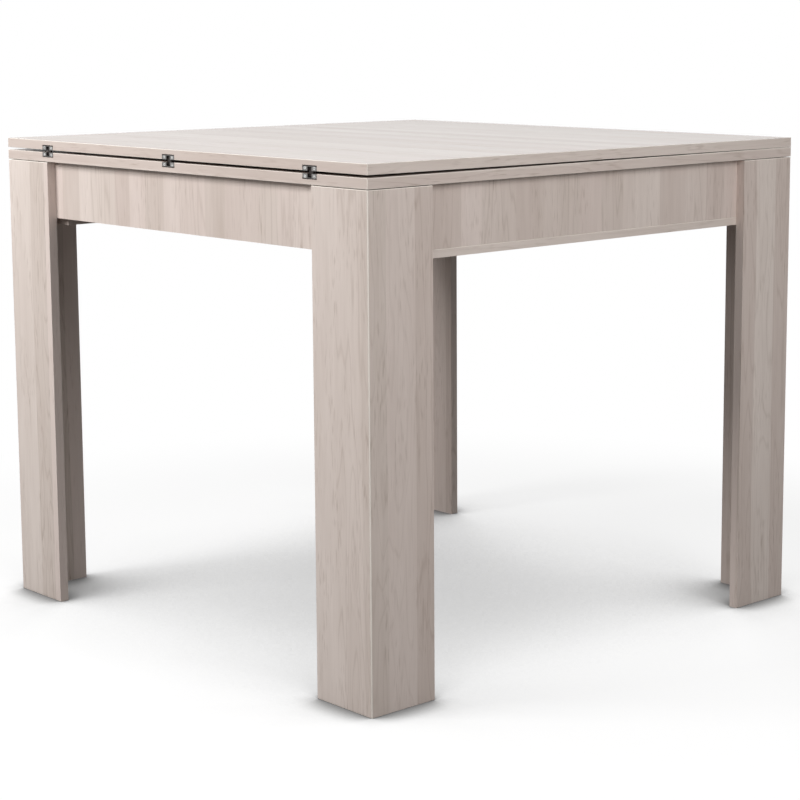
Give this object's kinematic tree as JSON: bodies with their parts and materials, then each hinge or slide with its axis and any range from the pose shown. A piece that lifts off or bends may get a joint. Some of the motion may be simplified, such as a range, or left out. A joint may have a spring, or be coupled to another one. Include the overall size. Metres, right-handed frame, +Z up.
{
  "type": "swivel extending table",
  "caption": "Square folding-top table in bleached wood decor: the top turns on an off-centre pivot over its frame and its upper leaf unfolds on link hinges to double the length.",
  "frame": {"origin": "on the floor under the centre of the closed top", "axes": "+Z up; -Y is the hinge side of the closed top; +X is the side that the upper leaf unfolds over after the quarter turn"},
  "size_m": [0.9, 0.9, 0.76],
  "materials": {
    "frame_board": "melamine-faced board, bleached greyed oak decor",
    "top_board": "melamine-faced board, bleached greyed oak decor",
    "edge_band": "edge band printed to match the board",
    "raw_wood": "planed softwood",
    "hinge_zinc": "bright zinc plated",
    "zinc_steel": "zinc plated steel",
    "nylon": "natural nylon"
  },
  "bodies": {
    "base": {"bottom_rail_screws": "zinc_steel", "cleat_screws": "zinc_steel", "front_apron": "frame_board", "front_left_leg_front_panel": "frame_board", "front_left_leg_side_panel": "frame_board", "front_rail_cleat": "raw_wood", "front_right_leg_front_panel": "frame_board", "front_right_leg_side_panel": "frame_board", "left_apron": "frame_board", "left_bottom_rail": "frame_board", "leg_screws": "zinc_steel", "pivot_rail": "frame_board", "pivot_washer": "zinc_steel", "rear_apron": "frame_board", "rear_left_leg_rear_panel": "frame_board", "rear_left_leg_side_panel": "frame_board", "rear_rail_cleat": "raw_wood", "rear_right_leg_rear_panel": "frame_board", "rear_right_leg_side_panel": "frame_board", "right_apron": "frame_board", "right_bottom_rail": "frame_board", "slide_pads": "nylon", "swivel_base_plate": "zinc_steel", "swivel_base_screws": "zinc_steel", "swivel_disc": "nylon"},
    "lower_top": {"left_hinge_lower_pin": "hinge_zinc", "left_hinge_lower_plate": "hinge_zinc", "lower_hinge_screws": "zinc_steel", "lower_leaf": "top_board", "lower_leaf_front_band": "edge_band", "lower_leaf_left_band": "edge_band", "lower_leaf_rear_band": "edge_band", "lower_leaf_right_band": "edge_band", "middle_hinge_lower_pin": "hinge_zinc", "middle_hinge_lower_plate": "hinge_zinc", "pivot_nut": "zinc_steel", "pivot_pin": "zinc_steel", "right_hinge_lower_pin": "hinge_zinc", "right_hinge_lower_plate": "hinge_zinc", "stop_pin": "zinc_steel", "swivel_top_plate": "zinc_steel", "swivel_top_screws": "zinc_steel"},
    "hinge_links": {"left_hinge_link": "hinge_zinc", "middle_hinge_link": "hinge_zinc", "right_hinge_link": "hinge_zinc"},
    "upper_top": {"left_hinge_upper_pin": "hinge_zinc", "left_hinge_upper_plate": "hinge_zinc", "middle_hinge_upper_pin": "hinge_zinc", "middle_hinge_upper_plate": "hinge_zinc", "right_hinge_upper_pin": "hinge_zinc", "right_hinge_upper_plate": "hinge_zinc", "upper_hinge_screws": "zinc_steel", "upper_leaf": "top_board", "upper_leaf_front_band": "edge_band", "upper_leaf_left_band": "edge_band", "upper_leaf_rear_band": "edge_band", "upper_leaf_right_band": "edge_band"}
  },
  "joints": [
    {"name": "top_swivel", "type": "hinge", "parent": "base", "child": "lower_top", "pos_m": [-0.225, -0.225, 0.72], "axis": [0, 0, 1], "range_deg": [0, 90]},
    {"name": "link_fold", "type": "hinge", "parent": "lower_top", "child": "hinge_links", "pos_m": [0, -0.4456, 0.7378], "axis": [1, 0, 0], "range_deg": [0, 90]},
    {"name": "leaf_fold", "type": "hinge", "parent": "hinge_links", "child": "upper_top", "pos_m": [0, -0.4456, 0.7482], "axis": [1, 0, 0], "range_deg": [0, 90.24]}
  ]
}
